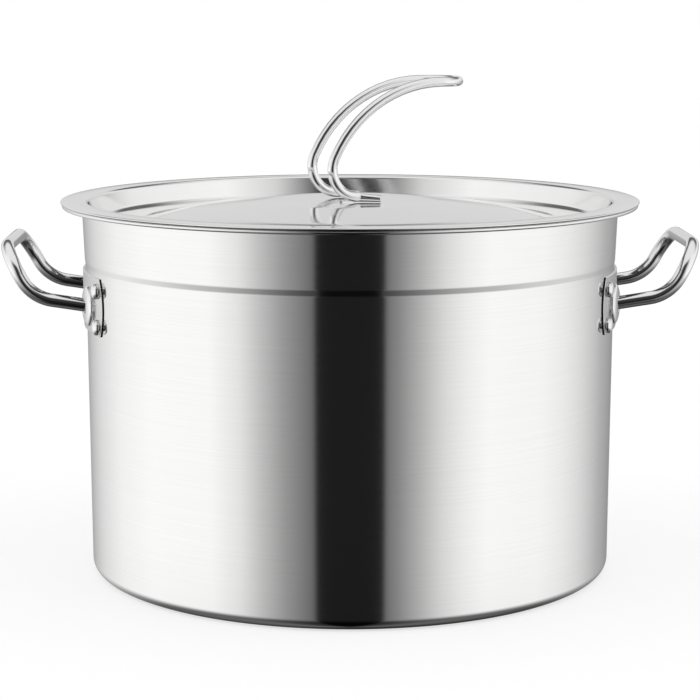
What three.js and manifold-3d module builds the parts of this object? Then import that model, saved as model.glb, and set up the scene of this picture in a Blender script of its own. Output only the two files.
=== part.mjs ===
// Stock pot with a sunken lid, two rod side handles and a rod lid handle.
// Millimetres, +Z up, origin at the centre of the pot's base, side handles on +X and -X.
import * as THREE from "three";
import { mergeVertices } from "three/addons/utils/BufferGeometryUtils.js";
import Module from "manifold-3d";

const wasm = await Module();
wasm.setup();

// ---------- driving dimensions ----------
const potRadius = 160; // outside of the wall just above the groove line
const potHeight = 225.4; // bench to the top of the closed lid's flange
const sheet = 1.2; // pot wall and floor
const lidSheet = 1.0;
const gap = 0.3; // between pieces that rest on or are fixed to each other
const turns = 64; // facets round every large turned part, so that their flats line up
const rodSides = 12;
const gripSteps = 48;
const loopSteps = 100;

// pot shell
const cornerRadius = 7;
const wallTaper = 1.1; // the wall is this much smaller in radius at the floor
const grooveDrop = 38.1; // from the top of the lid to the lower edge of the step line
const grooveHeight = 2.9;
const collarStep = 0.5; // the collar above the step line stands out this far
const collarFlare = 1.2; // and opens this much more before the rim
const rimOverhang = 13.6; // how far the rim stands out from the wall
const rimBead = 2.4; // thickness of the folded edge

// lid
const lidOverhang = 0.8; // past the pot's rim
const panClearance = 1.7; // between the lid's wall and the pot's wall
const lidLip = 2; // bend where the flange turns down
const panFillet = 2.5;
const gutterDrop = 13.3;
const gutterWidth = 25.1; // from the lid's wall to the foot of the raised centre
const crownRadius = 92;
const crownDrop = 5.7;
const padRadius = 49.5;
const padDrop = 1.2;

// side handles
const gripRod = 4; // rod radius
const legSpacing = 91;
const gripStandOff = 44; // wall to the middle of the grip
const gripDrop = 25; // top of the lid to the middle of the grip
const elbowStandOff = 28.5;
const elbowDrop = 53.8;
const legDrop = 59.6; // where the leg meets its boss
const legInset = 10; // the leg is drawn this far inside the wall, then cut off at the bracket
const elbowBend = 24;
const gripBend = 20;

// brackets, bosses and rivets
const plateTopDrop = 40.5;
const plateHeight = 34;
const plateSheet = 1.5;
const plateHalfWidth = 66.7;
const plateBulge = 4;
const bossRadius = 11.8;
const bossHeight = 3;
const rivetSpread = 62; // from the middle of the plate
const rivetDrops = [48.2, 69.4];
const rivetHead = 4.6;
const rivetHeadHeight = 3;
const rivetShank = 2.5;
const rivetTail = 4.2;
const rivetTailHeight = 1.0;
const tailClearance = 0.25; // the wall curves in toward the edge of the inside head

// lid handle
const loopRod = 3;
const loopSpacing = 34;
const loopTurn = 20 * (Math.PI / 180); // the loop leans away in this direction
const footLength = 14;
const footBend = 6; // the feet curl to the front, the far one more than the near one
const nearFootTurn = 30 * (Math.PI / 180);
const farFootTurn = 55 * (Math.PI / 180);
const heelX = -1.5;
const heelBend = 16.5;
const heelEnd = 65 * (Math.PI / 180); // slope where the heel runs into the long sweep
const sweepBend = 76.5;

// ---------- derived ----------
const grooveLow = potHeight - grooveDrop;
const grooveHigh = grooveLow + grooveHeight;
const rimRadius = potRadius + rimOverhang;
const lidRadius = rimRadius + lidOverhang;
const panWall = potRadius - sheet - panClearance - lidSheet; // inside of the lid's wall
const lidOpening = panWall + 1.9 + lidLip; // the wall leans out this much on its way up
const shoulderRadius = panWall - gutterWidth;
const rimTop = potHeight - lidSheet - gap;

// Outside radius of the wall between the floor corner and the step line.
function wallRadius(z) {
  const share = (grooveLow - z) / (grooveLow - cornerRadius);
  return potRadius - wallTaper * share;
}

// ---------- helpers ----------
function toSolid(geometry) {
  const bare = new THREE.BufferGeometry();
  const loose = geometry.index ? geometry.toNonIndexed() : geometry;
  bare.setAttribute("position", loose.getAttribute("position"));
  const merged = mergeVertices(bare, 1e-4);
  return new wasm.Manifold(
    new wasm.Mesh({
      numProp: 3,
      vertProperties: merged.attributes.position.array,
      triVerts: new Uint32Array(merged.index.array),
    }),
  );
}

function toGeometry(solid) {
  const mesh = solid.getMesh();
  const geometry = new THREE.BufferGeometry();
  const points = new Float32Array(mesh.vertProperties);
  geometry.setAttribute("position", new THREE.BufferAttribute(points, 3));
  geometry.setIndex(new THREE.BufferAttribute(new Uint32Array(mesh.triVerts), 1));
  geometry.computeVertexNormals();
  return geometry;
}

// A profile of [radius, height] pairs, listed with the solid on its left, turned about +Z.
function turned(profile, facets) {
  const points = profile.map(([r, z]) => new THREE.Vector2(r, z));
  return new THREE.LatheGeometry(points, facets).rotateX(Math.PI / 2);
}

// Points on an arc of a profile, from one angle to another in degrees.
function bend(r, z, radius, from, to, steps) {
  const points = [];
  for (let i = 0; i <= steps; i++) {
    const a = ((from + ((to - from) * i) / steps) * Math.PI) / 180;
    points.push([r + radius * Math.cos(a), z + radius * Math.sin(a)]);
  }
  return points;
}

// A path of straight runs and arcs, measured along its length.
class BentPath extends THREE.Curve {
  constructor(pieces) {
    super();
    this.pieces = pieces;
    this.total = pieces.reduce((sum, piece) => sum + piece.length, 0);
  }

  getPoint(t, target = new THREE.Vector3()) {
    let along = t * this.total;
    let i = 0;
    while (i < this.pieces.length - 1 && along > this.pieces[i].length) {
      along -= this.pieces[i].length;
      i += 1;
    }
    return target.copy(this.pieces[i].at(Math.min(along, this.pieces[i].length)));
  }
}

function straight(from, to) {
  const length = from.distanceTo(to);
  return { length, at: (s) => from.clone().lerp(to, s / length) };
}

// An arc from a start point, heading one way and turning toward another direction.
function arc(start, heading, inward, radius, angle) {
  const centre = start.clone().addScaledVector(inward, radius);
  const at = (s) => {
    const a = s / radius;
    return centre
      .clone()
      .addScaledVector(inward, -radius * Math.cos(a))
      .addScaledVector(heading, radius * Math.sin(a));
  };
  return { length: radius * angle, at };
}

// Straight runs between corner points, each inner corner rounded to its own radius.
function roundedPath(corners, radii) {
  const pieces = [];
  let start = corners[0];
  for (let i = 1; i < corners.length - 1; i++) {
    const before = corners[i].clone().sub(corners[i - 1]).normalize();
    const after = corners[i + 1].clone().sub(corners[i]).normalize();
    const angle = before.angleTo(after);
    const cut = radii[i - 1] * Math.tan(angle / 2);
    const enter = corners[i].clone().addScaledVector(before, -cut);
    const inward = after.clone().addScaledVector(before, -after.dot(before)).normalize();
    pieces.push(straight(start, enter));
    pieces.push(arc(enter, before, inward, radii[i - 1], angle));
    start = corners[i].clone().addScaledVector(after, cut);
  }
  pieces.push(straight(start, corners[corners.length - 1]));
  return new BentPath(pieces);
}

function rodAlong(path, radius, steps) {
  const round = new THREE.Shape();
  round.absarc(0, 0, radius, 0, 2 * Math.PI, false);
  return new THREE.ExtrudeGeometry(round, {
    extrudePath: path,
    steps,
    curveSegments: rodSides / 2, // a full circle takes two points for each segment
  });
}

// Turns a shape made on +Z so that it points straight out of the wall at an angle round the pot.
function pointOut(geometry, angle, radius, z) {
  return geometry
    .rotateY(Math.PI / 2)
    .translate(radius, 0, z)
    .rotateZ(angle);
}

const group = new THREE.Group();
group.name = "stock_pot";

function addPiece(name, geometry, color, roughness) {
  const material = new THREE.MeshStandardMaterial({ color, metalness: 1, roughness });
  material.name = name;
  const mesh = new THREE.Mesh(geometry, material);
  mesh.name = name;
  group.add(mesh);
}

// ---------- rivet places ----------
// side is +1 or -1; the angle is measured round the pot from +X.
function placeAngle(side, y) {
  const angle = Math.asin(y / potRadius);
  return side > 0 ? angle : Math.PI - angle;
}

function rivetPlaces(side) {
  const places = [];
  for (const [row, drop] of rivetDrops.entries()) {
    for (const y of [-rivetSpread, rivetSpread]) {
      places.push({ row, y, angle: placeAngle(side, y), z: potHeight - drop });
    }
  }
  return places;
}

function rivetHole(place) {
  const hole = new THREE.CylinderGeometry(rivetShank + gap, rivetShank + gap, 16, 16);
  hole.rotateX(Math.PI / 2);
  return toSolid(pointOut(hole, place.angle, potRadius, place.z));
}

// ---------- pot shell ----------
function shellProfile() {
  const floorR = wallRadius(cornerRadius);
  const inCorner = cornerRadius - sheet;
  const beadR = rimBead / 2;
  const neck = potRadius + collarStep + collarFlare;
  const outside = [
    [0, 0],
    ...bend(floorR - cornerRadius, cornerRadius, cornerRadius, -90, 0, 4),
    [wallRadius(grooveLow), grooveLow],
    [potRadius + collarStep, grooveHigh],
    [neck, rimTop - sheet - 2],
    [neck + 2, rimTop - sheet],
    [rimRadius - rimBead, rimTop - sheet],
    ...bend(rimRadius - beadR, rimTop - beadR, beadR, -110, 90, 4),
  ];
  const inside = [
    [neck - sheet + 1.7, rimTop],
    [neck - sheet, rimTop - 1.7],
    [potRadius + collarStep - sheet, grooveHigh],
    [wallRadius(grooveLow) - sheet, grooveLow],
    ...bend(floorR - cornerRadius, cornerRadius, inCorner, 0, -90, 3),
    [0, sheet],
  ];
  return [...outside, ...inside];
}

function makeShell() {
  let solid = toSolid(turned(shellProfile(), turns));
  for (const side of [1, -1]) {
    for (const place of rivetPlaces(side)) solid = solid.subtract(rivetHole(place));
  }
  addPiece("pot_shell", toGeometry(solid), 0xd6d6d4, 0.3);
}

// ---------- lid ----------
function lidProfile() {
  const top = potHeight;
  const floor = top - gutterDrop;
  const half = lidSheet / 2;
  const under = (points) => points.map(([r, z]) => [r, z - lidSheet]);
  const raised = [
    [shoulderRadius, floor],
    [shoulderRadius - 6, floor + 0.7],
    [crownRadius + 6, top - crownDrop - 0.8],
    [crownRadius, top - crownDrop],
    [padRadius + 4, top - padDrop - 0.35],
    [padRadius, top - padDrop],
    [0, top - padDrop],
  ];
  const lower = [
    ...under(raised).reverse(),
    ...bend(panWall - panFillet, floor + panFillet, panFillet + lidSheet, -90, 0, 2),
    ...bend(lidOpening, top - lidLip, lidLip - lidSheet, 180, 90, 2),
  ];
  const upper = [
    ...bend(lidRadius - half, top - half, half, -90, 90, 2),
    ...bend(lidOpening, top - lidLip, lidLip, 90, 180, 2),
    ...bend(panWall - panFillet, floor + panFillet, panFillet, 0, -90, 2),
    ...raised,
  ];
  return [...lower, ...upper];
}

function makeLid() {
  const solid = toSolid(turned(lidProfile(), turns));
  addPiece("lid_pan", toGeometry(solid), 0xdadad8, 0.3);
}

// ---------- lid handle ----------
function loopPath() {
  const footZ = potHeight - padDrop + gap + loopRod;
  const x = new THREE.Vector3(1, 0, 0);
  const up = new THREE.Vector3(0, 0, 1);
  const reversed = (piece) => ({ length: piece.length, at: (s) => piece.at(piece.length - s) });
  const leg = (y, footTurn) => {
    const heelStart = new THREE.Vector3(heelX, y, footZ);
    const back = x.clone().negate();
    const curl = arc(heelStart, x, new THREE.Vector3(0, -1, 0), footBend, footTurn);
    const way = new THREE.Vector3(Math.cos(footTurn), -Math.sin(footTurn), 0);
    const curled = curl.at(curl.length);
    const toe = curled.clone().addScaledVector(way, footLength - curl.length);
    const heel = arc(heelStart, back, up, heelBend, Math.PI - heelEnd);
    const sweepStart = heel.at(heel.length);
    const heading = new THREE.Vector3(Math.cos(heelEnd), 0, Math.sin(heelEnd));
    const inward = new THREE.Vector3(Math.sin(heelEnd), 0, -Math.cos(heelEnd));
    const sweep = arc(sweepStart, heading, inward, sweepBend, heelEnd);
    return [straight(toe, curled), reversed(curl), heel, sweep];
  };
  const near = leg(-loopSpacing / 2, nearFootTurn);
  const far = leg(loopSpacing / 2, farFootTurn).reverse().map(reversed);
  const nearSweep = near[near.length - 1];
  const tipStart = nearSweep.at(nearSweep.length);
  const tip = arc(tipStart, x, new THREE.Vector3(0, 1, 0), loopSpacing / 2, Math.PI);
  return new BentPath([...near, tip, ...far]);
}

function makeLidHandle() {
  const rod = rodAlong(loopPath(), loopRod, loopSteps).rotateZ(loopTurn);
  addPiece("lid_handle", rod, 0xe2e2e2, 0.12);
}

// ---------- side handles ----------
function gripPath(side) {
  const half = legSpacing / 2;
  const corner = (out, y, drop) =>
    new THREE.Vector3(side * (potRadius + out), side * y, potHeight - drop);
  const corners = [
    corner(-legInset, -half, legDrop),
    corner(elbowStandOff, -half, elbowDrop),
    corner(gripStandOff, -half, gripDrop),
    corner(gripStandOff, half, gripDrop),
    corner(elbowStandOff, half, elbowDrop),
    corner(-legInset, half, legDrop),
  ];
  return roundedPath(corners, [elbowBend, gripBend, gripBend, elbowBend]);
}

// Everything closer to the axis than the bracket's outer face plus a clearance.
function bracketCore(clearance) {
  const low = potHeight - plateTopDrop - plateHeight - 20;
  const high = potHeight - plateTopDrop + 20;
  const face = (z) => wallRadius(z) + gap + plateSheet + clearance;
  return toSolid(turned([[0, low], [face(low), low], [face(high), high], [0, high]], turns));
}

function makeGrip(name, side) {
  const rod = toSolid(rodAlong(gripPath(side), gripRod, gripSteps));
  addPiece(name, toGeometry(rod.subtract(bracketCore(gap))), 0xe2e2e2, 0.12);
}

// ---------- brackets ----------
function plateOutline() {
  const low = potHeight - plateTopDrop - plateHeight;
  const high = potHeight - plateTopDrop;
  const middle = (low + high) / 2;
  const outline = new THREE.Shape();
  const reach = plateHalfWidth + 2 * plateBulge;
  outline.moveTo(-plateHalfWidth, low);
  outline.lineTo(plateHalfWidth, low);
  outline.quadraticCurveTo(reach, middle, plateHalfWidth, high);
  outline.lineTo(-plateHalfWidth, high);
  outline.quadraticCurveTo(-reach, middle, -plateHalfWidth, low);
  return outline;
}

function makePlate(name, side) {
  const low = potHeight - plateTopDrop - plateHeight - 5;
  const high = potHeight - plateTopDrop + 2;
  const inner = (z) => wallRadius(z) + gap;
  const outer = (z) => inner(z) + plateSheet;
  const ring = [
    [inner(low), low],
    [outer(low), low],
    [outer(high), high],
    [inner(high), high],
    [inner(low), low],
  ];
  const blockDepth = 60;
  const block = new THREE.ExtrudeGeometry(plateOutline(), {
    depth: blockDepth,
    curveSegments: 8,
    bevelEnabled: false,
  });
  const across = new THREE.Matrix4().makeBasis(
    new THREE.Vector3(0, 1, 0),
    new THREE.Vector3(0, 0, 1),
    new THREE.Vector3(1, 0, 0),
  );
  const blockStart = side > 0 ? potRadius - blockDepth + 20 : -potRadius - 20;
  block.applyMatrix4(across).translate(blockStart, 0, 0);
  let solid = toSolid(turned(ring, turns)).intersect(toSolid(block));
  for (const place of rivetPlaces(side)) solid = solid.subtract(rivetHole(place));
  addPiece(name, toGeometry(solid), 0xd6d6d4, 0.2);
}

// A polished dome round the end of each leg.
function makeBoss(name, side, y) {
  const profile = [
    [0, -6],
    [bossRadius, -6],
    [bossRadius, 0.7],
    [bossRadius * 0.97, bossHeight * 0.45],
    [bossRadius * 0.86, bossHeight * 0.78],
    [bossRadius * 0.68, bossHeight * 0.96],
    [bossRadius * 0.55, bossHeight],
    [0, bossHeight],
  ];
  const z = potHeight - legDrop + 0.6;
  const face = wallRadius(z) + gap + plateSheet;
  const dome = pointOut(turned(profile, 24), placeAngle(side, y), face, z);
  const leg = toSolid(rodAlong(gripPath(side), gripRod + gap, gripSteps));
  addPiece(name, toGeometry(toSolid(dome).subtract(bracketCore(gap)).subtract(leg)), 0xdedede, 0.12);
}

// A button head outside, a flat upset head inside.
function makeRivet(name, place) {
  const face = wallRadius(place.z) + gap + plateSheet + gap;
  const back = wallRadius(place.z) - sheet - gap - tailClearance;
  const shank = face - back;
  const profile = [
    [0, -rivetTailHeight],
    [rivetTail, -rivetTailHeight],
    [rivetTail, 0],
    [rivetShank, 0],
    [rivetShank, shank],
    [rivetHead, shank],
    [rivetHead * 0.9, shank + rivetHeadHeight * 0.5],
    [rivetHead * 0.62, shank + rivetHeadHeight * 0.86],
    [0, shank + rivetHeadHeight],
  ];
  const rivet = pointOut(turned(profile, 12), place.angle, back, place.z);
  addPiece(name, rivet, 0xdcdcdc, 0.15);
}

// ---------- assembly ----------
makeShell();
makeLid();
makeLidHandle();
for (const [label, side] of [["right", 1], ["left", -1]]) {
  makePlate(`${label}_bracket`, side);
  makeGrip(`${label}_handle`, side);
  for (const [end, y] of [["front", -1], ["rear", 1]]) {
    makeBoss(`${label}_boss_${end}`, side, (y * legSpacing) / 2);
  }
  for (const place of rivetPlaces(side)) {
    const end = place.y < 0 ? "front" : "rear";
    makeRivet(`${label}_rivet_${end}_${place.row === 0 ? "upper" : "lower"}`, place);
  }
}

export default group;
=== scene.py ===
import bpy
import math
from mathutils import Matrix, Vector


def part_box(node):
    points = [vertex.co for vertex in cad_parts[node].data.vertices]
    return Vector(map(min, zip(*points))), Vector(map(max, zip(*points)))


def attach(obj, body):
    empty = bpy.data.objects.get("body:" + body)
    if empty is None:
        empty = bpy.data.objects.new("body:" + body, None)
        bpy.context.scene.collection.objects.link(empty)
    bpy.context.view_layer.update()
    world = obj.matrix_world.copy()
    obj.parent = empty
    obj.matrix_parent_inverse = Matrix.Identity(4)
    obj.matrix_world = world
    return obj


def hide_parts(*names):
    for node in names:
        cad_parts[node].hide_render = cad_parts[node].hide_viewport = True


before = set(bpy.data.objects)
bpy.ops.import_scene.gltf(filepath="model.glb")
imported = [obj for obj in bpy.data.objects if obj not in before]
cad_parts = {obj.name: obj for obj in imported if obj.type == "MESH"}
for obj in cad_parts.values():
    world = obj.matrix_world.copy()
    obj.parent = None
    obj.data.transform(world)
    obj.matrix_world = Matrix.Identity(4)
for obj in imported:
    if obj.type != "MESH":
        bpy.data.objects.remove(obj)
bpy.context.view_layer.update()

# ---------- sizes, in metres, from the frame ----------
MM = 0.001
shell_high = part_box("pot_shell")[1]
lid_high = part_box("lid_pan")[1]
grip_low, grip_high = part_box("right_handle")
plate_low, plate_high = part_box("right_bracket")
boss_low, boss_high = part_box("right_boss_rear")

LID_TOP = lid_high.z
LID_RADIUS = lid_high.x
RIM_TOP = shell_high.z
RIM_RADIUS = shell_high.x
RIM_REACH = 13.6 * MM
WALL_RADIUS = RIM_RADIUS - RIM_REACH  # outside of the wall at the step line
SHEET = 1.2 * MM
LID_SHEET = 1.0 * MM
GAP = 0.3 * MM

FLOOR_CORNER = 7 * MM
WALL_TAPER = 1.1 * MM
WALL_RINGS = (60 * MM, 120 * MM)  # levels that keep the tall wall's faces short
STEP_LOW = LID_TOP - 38.1 * MM
STEP_HIGH = STEP_LOW + 2.9 * MM
STEP_OUT = 0.5 * MM
COLLAR_FLARE = 1.2 * MM
COLLAR_FOLD = 2 * MM
MOUTH_FOLD = 1.7 * MM
RIM_BEAD = 2.4 * MM

PAN_CLEARANCE = 1.7 * MM
PAN_WALL = WALL_RADIUS - SHEET - PAN_CLEARANCE - LID_SHEET
PAN_FLARE = 1.9 * MM
LID_LIP = 2 * MM
LID_OPENING = PAN_WALL + PAN_FLARE + LID_LIP
PAN_FILLET = 2.5 * MM
GUTTER_FLOOR = LID_TOP - 13.3 * MM
GUTTER_WIDTH = 25.1 * MM
SHOULDER_RADIUS = PAN_WALL - GUTTER_WIDTH
CROWN_RADIUS = 92 * MM
CROWN_DROP = 5.7 * MM
PAD_RADIUS = 49.5 * MM
PAD_DROP = 1.2 * MM
PAD_TOP = LID_TOP - PAD_DROP

GRIP_ROD = 4 * MM
LEG_SPACING = grip_high.y - grip_low.y - 2 * GRIP_ROD
GRIP_REACH = grip_high.x - GRIP_ROD
GRIP_HEIGHT = grip_high.z - GRIP_ROD
ELBOW_REACH = WALL_RADIUS + 28.5 * MM
ELBOW_HEIGHT = LID_TOP - 53.8 * MM
LEG_ROOT = WALL_RADIUS - 10 * MM  # the leg's line is at LEG_HEIGHT here, inside the wall
LEG_HEIGHT = LID_TOP - 59.6 * MM
ELBOW_BEND = 24 * MM
GRIP_BEND = 20 * MM
BAR_EDGE = 0.35 * MM

PLATE_SHEET = 1.5 * MM
PLATE_HALF_WIDTH = 66.7 * MM
PLATE_BULGE = 4 * MM
PLATE_EDGE = 0.3 * MM
# Faces that point along the wall by more than this get the near-black painted shadow of the plate's ends.
END_SHADOW_FACING = 0.6
BOSS_RADIUS = (boss_high.z - boss_low.z) / 2
BOSS_HEIGHT = 3 * MM
BOSS_LIFT = 0.6 * MM
RIVET_SPREAD = 62 * MM
RIVET_HEIGHTS = {"upper": LID_TOP - 48.2 * MM, "lower": LID_TOP - 69.4 * MM}
RIVET_HEAD = 4.6 * MM
RIVET_RISE = 3 * MM
RIVET_SHANK = 2.5 * MM
RIVET_TAIL = 4.2 * MM
RIVET_TAIL_RISE = 1 * MM
RIVET_ROUNDNESS = 0.85
DOME_STEPS = 16

LOOP_ROD = 3 * MM
LOOP_SPACING = 34 * MM
LOOP_TURN = math.radians(20)
FOOT_LENGTH = 14 * MM
FOOT_BEND = 6 * MM
NEAR_FOOT_TURN = math.radians(30)
FAR_FOOT_TURN = math.radians(55)
FOOT_THICKNESS = 4.2 * MM
FOOT_PRESS_RUN = 5 * MM
HEEL_X = -1.5 * MM
HEEL_BEND = 16.5 * MM
HEEL_END = math.radians(65)
SWEEP_BEND = 76.5 * MM

# ---------- light ----------
CAMERA_ASIDE = math.radians(1.7)
CAMERA_DIP = math.radians(9.391)
CAMERA_DISTANCE = 1.3106
CAMERA_ABOVE_LID = 0.1231
CAMERA_LENS = 111.24
FLOOR_PAINT = 0.55
FLOOR_GLOW = 0.62
LOW_LIGHT = [
    (-180, 0.3), (-160, 0.48), (-140, 0.78), (-118, 1.02), (-95, 1.12), (-62, 1.1), (-48, 0.9),
    (-38, 0.6), (-28, 0.36), (-18.5, 0.21), (-15.5, 0.17), (-14.8, 0.013), (14.8, 0.013),
    (15.5, 0.2), (20, 0.27), (30, 0.51), (40, 0.79), (50, 0.98), (61, 1.1), (90, 1.06),
    (105, 0.95), (118, 0.8), (140, 0.49), (160, 0.33), (180, 0.3),
]
HIGH_LIGHT = [
    (-180, 0.72), (-150, 0.8), (-120, 0.95), (-60, 1.05), (-35, 0.75), (-19, 0.22), (-14, 0.04),
    (14, 0.04), (19, 0.22), (35, 0.75), (60, 1.05), (120, 0.95), (150, 0.8), (180, 0.72),
]
UPPER_LIGHT = [
    (-180, 0.12), (-135, 0.16), (-110, 0.6), (-75, 1.0), (-45, 0.9), (-25, 0.2), (-14, 0.05),
    (14, 0.05), (25, 0.2), (45, 0.9), (75, 1.0), (110, 0.6), (135, 0.16), (180, 0.12),
]
TOP_LIGHT = 0.9
UNDER_SHARE = 0.12
# Heights of a direction, from -1 straight down to 1 straight up, between which the light changes.
LOW_TO_HIGH = (-0.02, 0.1)
HIGH_TO_UPPER = (0.38, 0.47)
UPPER_TO_TOP = (0.62, 0.85)
UNDER_TO_FULL = (-0.75, -0.25)


def wall_radius(z):
    """Outside of the wall between the floor corner and the step line."""
    return WALL_RADIUS - WALL_TAPER * (STEP_LOW - z) / (STEP_LOW - FLOOR_CORNER)


# ---------- modelling helpers ----------
def start_point(name, place):
    """A mesh of one selected point, left in edit mode."""
    bpy.ops.object.select_all(action="DESELECT")
    bpy.ops.mesh.primitive_plane_add(size=MM)
    piece = bpy.context.object
    piece.name = name
    bpy.ops.object.mode_set(mode="EDIT")
    bpy.ops.mesh.select_mode(type="VERT")
    bpy.ops.mesh.select_all(action="SELECT")
    bpy.ops.mesh.merge(type="CENTER")
    bpy.ops.transform.translate(value=place)
    return piece


def turn(name, profile, steps=240):
    """Draws a closed section point by point and spins it round the Z axis."""
    places = [Vector((r, 0, z)) for r, z in profile]
    piece = start_point(name, places[0])
    for before, after in zip(places, places[1:]):
        bpy.ops.mesh.extrude_vertices_move(TRANSFORM_OT_translate={"value": after - before})
    bpy.ops.mesh.select_all(action="SELECT")
    bpy.ops.mesh.spin(steps=steps, angle=2 * math.pi, center=(0, 0, 0), axis=(0, 0, 1))
    finish_mesh(piece)
    return piece


def finish_mesh(piece, smooth_angle=35):
    """Merges seams and poles, turns the faces out, leaves edit mode and smooths the round parts."""
    bpy.ops.mesh.select_all(action="SELECT")
    bpy.ops.mesh.remove_doubles(threshold=0.002 * MM)
    bpy.ops.mesh.normals_make_consistent(inside=False)
    bpy.ops.object.mode_set(mode="OBJECT")
    bpy.ops.object.shade_smooth_by_angle(angle=math.radians(smooth_angle))


def bend(r, z, radius, start, end, steps):
    """Points on an arc of a section, from one angle to another in degrees."""
    points = []
    for i in range(steps + 1):
        a = math.radians(start + (end - start) * i / steps)
        points.append((r + radius * math.cos(a), z + radius * math.sin(a)))
    return points


def dome_arc(inner, outer, foot, top, roundness=1):
    """Points of a section up the back of a dome, from above its foot to its top."""
    points = []
    for i in range(1, DOME_STEPS + 1):
        a = math.radians(90 * i / DOME_STEPS)
        reach = (outer - inner) * math.cos(a) if i < DOME_STEPS else 0
        points.append((inner + reach, foot + (top - foot) * math.sin(a) ** roundness))
    return points


def bent_bar(name, radius, begin, heading, moves, sides=40):
    """A round bar drawn out from a ring: ("run", length) or ("bend", inward, radius, angle)."""
    bpy.ops.object.select_all(action="DESELECT")
    facing = Vector((0, 0, 1)).rotation_difference(heading).to_euler()
    bpy.ops.mesh.primitive_circle_add(
        vertices=sides, radius=radius, fill_type="NGON", location=begin, rotation=facing
    )
    piece = bpy.context.object
    piece.name = name
    bpy.ops.object.transform_apply(location=True, rotation=True, scale=True)
    bpy.ops.object.mode_set(mode="EDIT")
    bpy.ops.mesh.select_mode(type="FACE")
    bpy.ops.mesh.select_all(action="SELECT")
    place = begin.copy()
    way = heading.normalized()
    for move in moves:
        if move[0] == "run":
            step = way * move[1]
            bpy.ops.mesh.extrude_region_move(TRANSFORM_OT_translate={"value": step})
            place += step
            continue
        inward, bend_radius, angle = move[1:]
        inward = inward.normalized()
        centre = place + inward * bend_radius
        axis = way.cross(inward).normalized()
        steps = max(4, int(math.degrees(angle) / 5))
        bpy.ops.mesh.spin(steps=steps, angle=-angle, center=centre, axis=axis)
        turned = Matrix.Rotation(angle, 3, axis)
        place = centre + turned @ (place - centre)
        way = turned @ way
    finish_mesh(piece)
    round_edges(piece, BAR_EDGE, 3)
    return piece


def round_edges(piece, width, segments):
    """Takes the sharpness off every edge that turns by more than 40 degrees."""
    modifier = piece.modifiers.new("round_edges", "BEVEL")
    modifier.width = width
    modifier.segments = segments
    modifier.limit_method = "ANGLE"
    modifier.angle_limit = math.radians(40)
    bpy.ops.object.select_all(action="DESELECT")
    piece.select_set(True)
    bpy.context.view_layer.objects.active = piece
    bpy.ops.object.modifier_apply(modifier=modifier.name)
    bpy.ops.object.shade_smooth_by_angle(angle=math.radians(50))


def place_mesh(piece, matrix):
    """Moves the mesh, so that the piece's own origin stays at the pot's."""
    piece.data.transform(matrix)
    piece.data.update()
    return piece


def copy_of(piece, name, matrix):
    """A copy with its own mesh, put in its place."""
    other = piece.copy()
    other.data = piece.data.copy()
    other.name = name
    bpy.context.scene.collection.objects.link(other)
    return place_mesh(other, matrix)


def fit_out(piece, body, node, steel):
    """Gives a finished piece its steel and the body it moves with, and hides the imported part it stands
    for.
    """
    piece.data.materials.clear()
    piece.data.materials.append(steel)
    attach(piece, body)
    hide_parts(node)


# ---------- steels ----------
def new_steel(name, colour, roughness):
    steel = bpy.data.materials.new(name)
    steel.use_nodes = True
    shader = steel.node_tree.nodes["Principled BSDF"]
    shader.inputs["Base Color"].default_value = (*colour, 1)
    shader.inputs["Metallic"].default_value = 1
    shader.inputs["Roughness"].default_value = roughness
    return steel, shader


def node(steel, kind, **sockets):
    made = steel.node_tree.nodes.new(kind)
    for name, value in sockets.items():
        made.inputs[name].default_value = value
    return made


def join(steel, out, into):
    steel.node_tree.links.new(out, into)


def grain(steel, stretch):
    """The piece's own directions, stretched so that noise on them draws out into lines."""
    place = node(steel, "ShaderNodeTexCoord")
    drawn = node(steel, "ShaderNodeMapping", Scale=stretch)
    join(steel, place.outputs["Object"], drawn.inputs["Vector"])
    return drawn.outputs["Vector"]


def scratch_lines(steel, shader, vector, scale, depth, rough_low, rough_high):
    """Fine polishing lines: they shade the colour a little, vary the gloss and lift the surface."""
    lines = node(steel, "ShaderNodeTexNoise", Scale=scale, Detail=3.0, Roughness=0.6)
    join(steel, vector, lines.inputs["Vector"])
    gloss = node(steel, "ShaderNodeMapRange")
    gloss.inputs["To Min"].default_value = rough_low
    gloss.inputs["To Max"].default_value = rough_high
    join(steel, lines.outputs["Fac"], gloss.inputs["Value"])
    join(steel, gloss.outputs["Result"], shader.inputs["Roughness"])
    tone = node(steel, "ShaderNodeMix")
    tone.data_type = "RGBA"
    base = shader.inputs["Base Color"].default_value[:3]
    tone.inputs["A"].default_value = (*(0.95 * c for c in base), 1)
    tone.inputs["B"].default_value = (*(min(1, 1.04 * c) for c in base), 1)
    join(steel, lines.outputs["Fac"], tone.inputs["Factor"])
    join(steel, tone.outputs["Result"], shader.inputs["Base Color"])
    lift = node(steel, "ShaderNodeBump", Strength=depth, Distance=0.02 * MM)
    join(steel, lines.outputs["Fac"], lift.inputs["Height"])
    join(steel, lift.outputs["Normal"], shader.inputs["Normal"])


def wall_steel():
    """Belt-polished wall: fine level lines running round the pot."""
    steel, shader = new_steel("belt_polished_wall", (0.86, 0.86, 0.855), 0.16)
    scratch_lines(steel, shader, grain(steel, (3, 3, 420)), 4.0, 0.05, 0.07, 0.13)
    return steel


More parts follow.
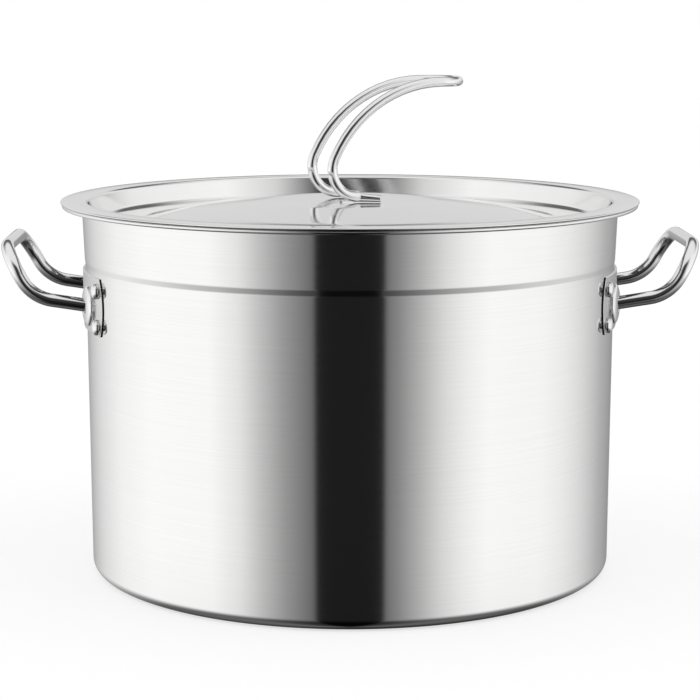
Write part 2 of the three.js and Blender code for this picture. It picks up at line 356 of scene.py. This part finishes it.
def lid_steel():
    """Turned lid: fine rings about the middle."""
    steel, shader = new_steel("turned_lid", (0.86, 0.86, 0.855), 0.2)
    place = node(steel, "ShaderNodeTexCoord")
    flat = node(steel, "ShaderNodeVectorMath")
    flat.operation = "MULTIPLY"
    flat.inputs[1].default_value = (1, 1, 0)
    join(steel, place.outputs["Object"], flat.inputs[0])
    reach = node(steel, "ShaderNodeVectorMath")
    reach.operation = "LENGTH"
    join(steel, flat.outputs["Vector"], reach.inputs[0])
    spread = node(steel, "ShaderNodeCombineXYZ")
    stretch = node(steel, "ShaderNodeMath")
    stretch.operation = "MULTIPLY"
    stretch.inputs[1].default_value = 260
    join(steel, reach.outputs["Value"], stretch.inputs[0])
    join(steel, stretch.outputs["Value"], spread.inputs["X"])
    scratch_lines(steel, shader, spread.outputs["Vector"], 6.0, 0.06, 0.06, 0.14)
    return steel


def plate_steel():
    """Bracket plate: satin sheet with a short grain."""
    steel, shader = new_steel("satin_bracket_plate", (0.78, 0.78, 0.775), 0.28)
    scratch_lines(steel, shader, grain(steel, (30, 30, 500)), 5.0, 0.1, 0.22, 0.34)
    return steel


def painted_end_shadow_steel():
    """Bracket ends painted near-black: painted shadow standing in for the shade of the gap at the plate's
    ends, dull, with streaks across the thickness.
    """
    steel, shader = new_steel("bracket_end_painted_shadow", (0.035, 0.035, 0.036), 0.5)
    scratch_lines(steel, shader, grain(steel, (40, 40, 900)), 3.0, 0.3, 0.4, 0.6)
    return steel


def bar_steel(name, roughness):
    """Mirror-polished bar and domes, with faint handling haze."""
    steel, shader = new_steel(name, (0.86, 0.86, 0.86), roughness)
    scratch_lines(steel, shader, grain(steel, (60, 60, 60)), 5.0, 0.02, roughness, roughness + 0.05)
    return steel


# ---------- pot ----------
def pot_section():
    """Up the outside from the middle of the floor, over the rim and down the inside."""
    floor_r = wall_radius(FLOOR_CORNER)
    inner_corner = FLOOR_CORNER - SHEET
    bead = RIM_BEAD / 2
    collar = WALL_RADIUS + STEP_OUT
    neck = collar + COLLAR_FLARE
    ease_out = 0.1 * MM
    ease_up = 0.25 * MM
    outside = [(0, 0), (floor_r * 0.5, 0)]
    outside += bend(floor_r - FLOOR_CORNER, FLOOR_CORNER, FLOOR_CORNER, -90, 0, 14)
    outside += [(wall_radius(z), z) for z in (*WALL_RINGS, STEP_LOW - 1 * MM, STEP_LOW)]
    outside += [
        (WALL_RADIUS + ease_out, STEP_LOW + ease_up),
        (collar - ease_out, STEP_HIGH - ease_up),
        (collar, STEP_HIGH),
        (collar + ease_out / 2, STEP_HIGH + 1 * MM),
    ]
    outside += bend(neck + COLLAR_FOLD, RIM_TOP - SHEET - COLLAR_FOLD, COLLAR_FOLD, 180, 90, 8)
    outside += [(RIM_RADIUS - RIM_BEAD, RIM_TOP - SHEET)]
    outside += bend(RIM_RADIUS - bead, RIM_TOP - bead, bead, -150, 90, 16)
    inside = bend(neck - SHEET + MOUTH_FOLD, RIM_TOP - MOUTH_FOLD, MOUTH_FOLD, 90, 180, 6)
    inside += [(collar - SHEET, STEP_HIGH)]
    inside += [(wall_radius(z) - SHEET, z) for z in (STEP_LOW, WALL_RINGS[-1])]
    inside += bend(floor_r - FLOOR_CORNER, FLOOR_CORNER, inner_corner, 0, -90, 10)
    inside += [(floor_r * 0.5, SHEET), (0, SHEET)]
    return outside + inside


def make_pot(steel):
    pot = turn("pot_body", pot_section(), 256)
    fit_out(pot, "pot", "pot_shell", steel)


# ---------- lid ----------
def midway(a, b):
    return (a[0] + b[0]) / 2, (a[1] + b[1]) / 2


def on_curve(start, corner, end, t):
    """A point along the curve that rounds off a corner."""
    weights = ((1 - t) ** 2, 2 * t * (1 - t), t * t)
    return tuple(sum(w * place[k] for w, place in zip(weights, (start, corner, end))) for k in (0, 1))


def lid_crown():
    """Top of the lid from the gutter to the middle, rounded at each change of slope."""
    gutter_flat = 9 * MM
    ease = 6 * MM
    pad_ease = 4 * MM
    crown_top = LID_TOP - CROWN_DROP
    corners = [
        (SHOULDER_RADIUS + gutter_flat, GUTTER_FLOOR),
        (SHOULDER_RADIUS, GUTTER_FLOOR),
        (SHOULDER_RADIUS - ease, GUTTER_FLOOR + 0.7 * MM),
        (CROWN_RADIUS + ease, crown_top - 0.8 * MM),
        (CROWN_RADIUS, crown_top),
        (PAD_RADIUS + pad_ease, PAD_TOP - 0.35 * MM),
        (PAD_RADIUS, PAD_TOP),
        (PAD_RADIUS * 0.5, PAD_TOP),
    ]
    points = []
    for before, corner, after in zip(corners, corners[1:], corners[2:]):
        start = midway(before, corner)
        end = midway(corner, after)
        points += [on_curve(start, corner, end, i / 4) for i in range(4)]
    return points + [(0, PAD_TOP)]


def lid_section():
    """Out along the underside from the middle, round the edge and back over the top."""
    half = LID_SHEET / 2
    crown = lid_crown()
    floor_z = GUTTER_FLOOR + PAN_FILLET
    lower = [(r, z - LID_SHEET) for r, z in reversed(crown)]
    lower += bend(PAN_WALL - PAN_FILLET, floor_z, PAN_FILLET + LID_SHEET, -90, 0, 8)
    lower += bend(LID_OPENING, LID_TOP - LID_LIP, LID_LIP - LID_SHEET, 180, 90, 4)
    upper = bend(LID_RADIUS - half, LID_TOP - half, half, -90, 90, 10)
    upper += bend(LID_OPENING, LID_TOP - LID_LIP, LID_LIP, 90, 180, 8)
    upper += bend(PAN_WALL - PAN_FILLET, floor_z, PAN_FILLET, 0, -90, 8)
    return lower + upper + crown


def make_lid(steel):
    lid = turn("lid_sheet", lid_section(), 256)
    fit_out(lid, "lid", "lid_pan", steel)


def foot_run(turn_in):
    """Straight part of a foot, past its curl."""
    return FOOT_LENGTH - FOOT_BEND * turn_in


def near_toe():
    """Where the near foot ends, and the way from there back to its heel."""
    way = Vector((math.cos(NEAR_FOOT_TURN), -math.sin(NEAR_FOOT_TURN), 0))
    curl_x = FOOT_BEND * math.sin(NEAR_FOOT_TURN)
    curl_y = -FOOT_BEND * (1 - math.cos(NEAR_FOOT_TURN))
    heel = Vector((HEEL_X, -LOOP_SPACING / 2, PAD_TOP + GAP + LOOP_ROD))
    return heel + Vector((curl_x, curl_y, 0)) + way * foot_run(NEAR_FOOT_TURN), -way


def flatten_feet(loop):
    """The feet are pressed flat where they are welded down."""
    seat = PAD_TOP + GAP
    foot_top = seat + 2 * LOOP_ROD + 0.1 * MM
    for v in loop.data.vertices:
        if v.co.x < HEEL_X or v.co.z > foot_top:
            continue
        share = min(1, (v.co.x - HEEL_X) / FOOT_PRESS_RUN)
        share = share * share * (3 - 2 * share)
        squeeze = 1 - share * (1 - FOOT_THICKNESS / (2 * LOOP_ROD))
        v.co.z = seat + (v.co.z - seat) * squeeze
    loop.data.update()


def make_lid_loop(steel):
    """From the near foot back round its heel, up the sweep, round the tip and down to the far foot."""
    begin, heading = near_toe()
    up = Vector((0, 0, 1))
    down = Vector((0, 0, -1))
    rear = Vector((0, 1, 0))
    heel_to_sweep = Vector((math.sin(HEEL_END), 0, -math.cos(HEEL_END)))
    inner_curl = Vector((-math.sin(NEAR_FOOT_TURN), -math.cos(NEAR_FOOT_TURN), 0))
    moves = [
        ("run", foot_run(NEAR_FOOT_TURN)),
        ("bend", inner_curl, FOOT_BEND, NEAR_FOOT_TURN),
        ("bend", up, HEEL_BEND, math.pi - HEEL_END),
        ("bend", heel_to_sweep, SWEEP_BEND, HEEL_END),
        ("bend", rear, LOOP_SPACING / 2, math.pi),
        ("bend", down, SWEEP_BEND, HEEL_END),
        ("bend", heel_to_sweep, HEEL_BEND, math.pi - HEEL_END),
        ("bend", -rear, FOOT_BEND, FAR_FOOT_TURN),
        ("run", foot_run(FAR_FOOT_TURN)),
    ]
    loop = bent_bar("lid_loop", LOOP_ROD, begin, heading, moves)
    flatten_feet(loop)
    place_mesh(loop, Matrix.Rotation(LOOP_TURN, 4, "Z"))
    fit_out(loop, "lid", "lid_handle", steel)


# ---------- side handles ----------
def corner_moves(corners, radii):
    """Turns a list of corners into runs and bends for a bar."""
    moves = []
    start = corners[0]
    for before, corner, after, radius in zip(corners, corners[1:], corners[2:], radii):
        way_in = (corner - before).normalized()
        way_out = (after - corner).normalized()
        angle = way_in.angle(way_out)
        cut = radius * math.tan(angle / 2)
        enter = corner - way_in * cut
        inward = (way_out - way_in * way_out.dot(way_in)).normalized()
        moves.append(("run", (enter - start).length))
        moves.append(("bend", inward, radius, angle))
        start = corner + way_out * cut
    moves.append(("run", (corners[-1] - start).length))
    return moves


def leg_end():
    """Where a leg meets its bracket, just clear of the plate's face."""
    half = LEG_SPACING / 2
    face = wall_radius(LEG_HEIGHT) + GAP + PLATE_SHEET + GAP
    return math.sqrt(face**2 - (half - GRIP_ROD) ** 2)


def make_grip(name, side, node_name, steel):
    """Out along one leg, up to the grip, across and back down the other leg."""
    half = LEG_SPACING / 2
    foot = leg_end()
    slope = (ELBOW_HEIGHT - LEG_HEIGHT) / (ELBOW_REACH - LEG_ROOT)
    foot_z = LEG_HEIGHT + slope * (foot - LEG_ROOT)
    leg = [(foot, foot_z), (ELBOW_REACH, ELBOW_HEIGHT), (GRIP_REACH, GRIP_HEIGHT)]
    corners = [Vector((side * reach, -side * half, z)) for reach, z in leg]
    corners += [Vector((side * reach, side * half, z)) for reach, z in reversed(leg)]
    moves = corner_moves(corners, [ELBOW_BEND, GRIP_BEND, GRIP_BEND, ELBOW_BEND])
    heading = (corners[1] - corners[0]).normalized()
    grip = bent_bar(name, GRIP_ROD, corners[0], heading, moves)
    fit_out(grip, "pot", node_name, steel)
    grip.visible_glossy = False


# ---------- brackets ----------
def make_plate(name, side, node_name, steel, painted_end_shadow):
    """A flat blank with bowed ends, given its thickness and soft edges, then rolled to the wall."""
    tall = plate_high.z - plate_low.z
    middle = (plate_low.z + plate_high.z) / 2
    face = wall_radius(middle) + GAP
    half_arc = face * math.asin(PLATE_HALF_WIDTH / face)
    bpy.ops.object.select_all(action="DESELECT")
    bpy.ops.mesh.primitive_grid_add(x_subdivisions=120, y_subdivisions=28, size=1)
    plate = bpy.context.object
    plate.name = name
    place_mesh(plate, Matrix.Diagonal((2 * half_arc, tall, 1, 1)))
    for v in plate.data.vertices:
        across = 2 * v.co.y / tall
        v.co.x *= 1 + PLATE_BULGE / half_arc * (1 - across**2)
    bpy.ops.object.mode_set(mode="EDIT")
    bpy.ops.mesh.select_mode(type="FACE")
    bpy.ops.mesh.select_all(action="SELECT")
    bpy.ops.mesh.extrude_region_move(TRANSFORM_OT_translate={"value": (0, 0, PLATE_SHEET)})
    finish_mesh(plate)
    round_edges(plate, PLATE_EDGE, 2)
    turn_to = 0 if side > 0 else math.pi
    for v in plate.data.vertices:
        z = middle + v.co.y
        reach = wall_radius(z) + GAP + v.co.z
        angle = turn_to + v.co.x / face
        v.co = (reach * math.cos(angle), reach * math.sin(angle), z)
    plate.data.update()
    bpy.ops.object.mode_set(mode="EDIT")
    finish_mesh(plate, 50)
    fit_out(plate, "pot", node_name, steel)
    plate.visible_glossy = False
    # The plate's end faces get the near-black material: painted shadow standing in for the shade of the
    # gap where the plate's end stands off the wall.
    plate.data.materials.append(painted_end_shadow)
    for patch in plate.data.polygons:
        along = Vector((-patch.center.y, patch.center.x, 0)).normalized()
        if abs(patch.normal.dot(along)) > END_SHADOW_FACING:
            patch.material_index = 1


def out_of_wall(side, y, z, stand):
    """Takes a shape on +Z to where it points straight out of the wall."""
    angle = math.asin(y / WALL_RADIUS)
    angle = angle if side > 0 else math.pi - angle
    reach = wall_radius(z) + stand
    lean = Matrix.Rotation(math.pi / 2, 4, "Y")
    return Matrix.Rotation(angle, 4, "Z") @ Matrix.Translation((reach, 0, z)) @ lean


def boss_section():
    """A low pressed dome with a rounded foot and a rounded mouth about the leg."""
    mouth = GRIP_ROD + 0.3 * MM
    foot = 0.45 * MM
    edge = 0.3 * MM
    lip = 0.6 * MM
    section = [(mouth, foot), (BOSS_RADIUS - edge, foot)]
    section += bend(BOSS_RADIUS - edge, foot + edge, edge, -90, 0, 4)
    section += dome_arc(mouth + lip, BOSS_RADIUS, 0.8 * MM, BOSS_HEIGHT)
    section += bend(mouth + lip, BOSS_HEIGHT - lip, lip, 105, 180, 5)
    section.append((mouth, foot))
    return section


def make_bosses(steel):
    stand = GAP + PLATE_SHEET
    z = LEG_HEIGHT + BOSS_LIFT
    model = turn("boss_model", boss_section(), 72)
    for label, side in (("right", 1), ("left", -1)):
        for end, way in (("front", -1), ("rear", 1)):
            where = out_of_wall(side, way * LEG_SPACING / 2, z, stand)
            boss = copy_of(model, f"{label}_{end}_leg_boss", where)
            fit_out(boss, "pot", f"{label}_boss_{end}", steel)
    bpy.data.objects.remove(model)


def rivet_section():
    """A button head outside, a straight shank and a flat upset head inside."""
    head_edge = 0.2 * MM
    tail_edge = 0.3 * MM
    back = -(SHEET + GAP + PLATE_SHEET + GAP + 0.25 * MM)
    tip = back - RIVET_TAIL_RISE
    section = [(0, tip), (RIVET_TAIL - tail_edge, tip)]
    section += bend(RIVET_TAIL - tail_edge, tip + tail_edge, tail_edge, -90, 0, 4)
    section += [(RIVET_TAIL, back), (RIVET_SHANK, back), (RIVET_SHANK, GAP), (RIVET_HEAD - head_edge, GAP)]
    section += bend(RIVET_HEAD - head_edge, GAP + head_edge, head_edge, -90, 0, 3)
    section += dome_arc(0, RIVET_HEAD, GAP + head_edge, GAP + RIVET_RISE, RIVET_ROUNDNESS)
    return section


def make_rivets(steel):
    model = turn("rivet_model", rivet_section(), 48)
    for label, side in (("right", 1), ("left", -1)):
        for end, way in (("front", -1), ("rear", 1)):
            for row, z in RIVET_HEIGHTS.items():
                where = out_of_wall(side, way * RIVET_SPREAD, z, GAP + PLATE_SHEET)
                rivet = copy_of(model, f"{label}_{end}_{row}_rivet", where)
                fit_out(rivet, "pot", f"{label}_rivet_{end}_{row}", steel)
    bpy.data.objects.remove(model)


# ---------- room ----------
def make_floor():
    """White sweep: it shows white where it is open and keeps the pot's soft shadow."""
    bpy.ops.object.select_all(action="DESELECT")
    bpy.ops.mesh.primitive_plane_add(size=40, location=(0, 0, -0.05 * MM))
    floor = bpy.context.object
    floor.name = "floor"
    floor.visible_glossy = False
    white = bpy.data.materials.new("white_floor")
    white.use_nodes = True
    tree = white.node_tree
    tree.nodes.clear()
    paint = tree.nodes.new("ShaderNodeBsdfDiffuse")
    paint.inputs["Color"].default_value = (FLOOR_PAINT, FLOOR_PAINT, FLOOR_PAINT, 1)
    glow = tree.nodes.new("ShaderNodeEmission")
    glow.inputs["Color"].default_value = (1, 1, 1, 1)
    seen = tree.nodes.new("ShaderNodeLightPath")
    amount = tree.nodes.new("ShaderNodeMath")
    amount.operation = "MULTIPLY"
    amount.inputs[1].default_value = FLOOR_GLOW
    tree.links.new(seen.outputs["Is Camera Ray"], amount.inputs[0])
    tree.links.new(amount.outputs["Value"], glow.inputs["Strength"])
    both = tree.nodes.new("ShaderNodeAddShader")
    tree.links.new(paint.outputs["BSDF"], both.inputs[0])
    tree.links.new(glow.outputs["Emission"], both.inputs[1])
    out = tree.nodes.new("ShaderNodeOutputMaterial")
    tree.links.new(both.outputs["Shader"], out.inputs["Surface"])
    floor.data.materials.append(white)


def light_band(tree, share, stops):
    """Brightness of the tent by direction, in degrees round from the front."""
    band = tree.nodes.new("ShaderNodeValToRGB")
    ramp = band.color_ramp
    while len(ramp.elements) < len(stops):
        ramp.elements.new(0.5)
    for element, (angle, light) in zip(ramp.elements, stops):
        element.position = (angle + 180) / 360
        element.color = (light, light, light, 1)
    tree.links.new(share, band.inputs["Fac"])
    return band.outputs["Color"]


def fade(tree, height, between, below, above):
    """Goes from one brightness to another between two heights of a direction."""
    share = tree.nodes.new("ShaderNodeMapRange")
    share.interpolation_type = "SMOOTHSTEP"
    share.inputs["From Min"].default_value = between[0]
    share.inputs["From Max"].default_value = between[1]
    tree.links.new(height, share.inputs["Value"])
    mix = tree.nodes.new("ShaderNodeMix")
    mix.data_type = "RGBA"
    tree.links.new(share.outputs["Result"], mix.inputs["Factor"])
    for socket, light in (("A", below), ("B", above)):
        if isinstance(light, float):
            mix.inputs[socket].default_value = (light, light, light, 1)
        else:
            tree.links.new(light, mix.inputs[socket])
    return mix.outputs["Result"]


def share_round(tree, split):
    """How far round a direction is: 0.5 at the front, 0 and 1 at the back."""
    flip = tree.nodes.new("ShaderNodeMath")
    flip.operation = "MULTIPLY"
    flip.inputs[1].default_value = -1
    tree.links.new(split.outputs["Y"], flip.inputs[0])
    round_angle = tree.nodes.new("ShaderNodeMath")
    round_angle.operation = "ARCTAN2"
    tree.links.new(split.outputs["X"], round_angle.inputs[0])
    tree.links.new(flip.outputs["Value"], round_angle.inputs[1])
    share = tree.nodes.new("ShaderNodeMapRange")
    share.inputs["From Min"].default_value = -math.pi
    share.inputs["From Max"].default_value = math.pi
    tree.links.new(round_angle.outputs["Value"], share.inputs["Value"])
    return share.outputs["Result"]


def tent_light(tree):
    """Brightness of the tent in every direction, from the level bands up to the top."""
    way = tree.nodes.new("ShaderNodeTexCoord")
    turned = tree.nodes.new("ShaderNodeMapping")
    turned.inputs["Rotation"].default_value = (0, 0, CAMERA_ASIDE)
    tree.links.new(way.outputs["Generated"], turned.inputs["Vector"])
    split = tree.nodes.new("ShaderNodeSeparateXYZ")
    tree.links.new(turned.outputs["Vector"], split.inputs["Vector"])
    share = share_round(tree, split)
    height = split.outputs["Z"]
    low, high, upper = (light_band(tree, share, band) for band in (LOW_LIGHT, HIGH_LIGHT, UPPER_LIGHT))
    level = fade(tree, height, LOW_TO_HIGH, low, high)
    with_upper = fade(tree, height, HIGH_TO_UPPER, level, upper)
    with_top = fade(tree, height, UPPER_TO_TOP, with_upper, TOP_LIGHT)
    shade = fade(tree, height, UNDER_TO_FULL, UNDER_SHARE, 1.0)
    light = tree.nodes.new("ShaderNodeMix")
    light.data_type = "RGBA"
    light.blend_type = "MULTIPLY"
    light.inputs["Factor"].default_value = 1
    tree.links.new(with_top, light.inputs["A"])
    tree.links.new(shade, light.inputs["B"])
    return light.outputs["Result"]


def make_room():
    """A white tent, dark at the front, where the polished wall picks up its dark band."""
    world = bpy.context.scene.world or bpy.data.worlds.new("tent")
    bpy.context.scene.world = world
    world.use_nodes = True
    tree = world.node_tree
    tree.nodes.clear()
    out = tree.nodes.new("ShaderNodeOutputWorld")
    tent = tree.nodes.new("ShaderNodeBackground")
    tree.links.new(tent_light(tree), tent.inputs["Color"])
    white = tree.nodes.new("ShaderNodeBackground")
    white.inputs["Color"].default_value = (1, 1, 1, 1)
    seen = tree.nodes.new("ShaderNodeLightPath")
    choose = tree.nodes.new("ShaderNodeMixShader")
    tree.links.new(seen.outputs["Is Camera Ray"], choose.inputs["Fac"])
    tree.links.new(tent.outputs["Background"], choose.inputs[1])
    tree.links.new(white.outputs["Background"], choose.inputs[2])
    tree.links.new(choose.outputs["Shader"], out.inputs["Surface"])


def make_camera():
    """A little to the left of square on, looking slightly down on the lid."""
    data = bpy.data.cameras.new("camera")
    data.sensor_width = 36
    data.lens = CAMERA_LENS
    camera = bpy.data.objects.new("camera", data)
    bpy.context.scene.collection.objects.link(camera)
    across = -CAMERA_DISTANCE * math.sin(CAMERA_ASIDE)
    along = -CAMERA_DISTANCE * math.cos(CAMERA_ASIDE)
    camera.location = (across, along, LID_TOP + CAMERA_ABOVE_LID)
    camera.rotation_euler = (math.radians(90) - CAMERA_DIP, 0, -CAMERA_ASIDE)
    bpy.context.scene.camera = camera


# ---------- build ----------
bpy.context.scene.view_settings.view_transform = "Standard"
make_camera()
make_room()
make_floor()

wall = wall_steel()
lid_sheet = lid_steel()
plate = plate_steel()
painted_end_shadow = painted_end_shadow_steel()
bar = bar_steel("polished_bar", 0.05)
dome = bar_steel("polished_dome", 0.08)

make_pot(wall)
make_lid(lid_sheet)
make_lid_loop(bar)
for label, side in (("right", 1), ("left", -1)):
    make_plate(f"{label}_plate", side, f"{label}_bracket", plate, painted_end_shadow)
    make_grip(f"{label}_grip", side, f"{label}_handle", bar)
make_bosses(dome)
make_rivets(dome)
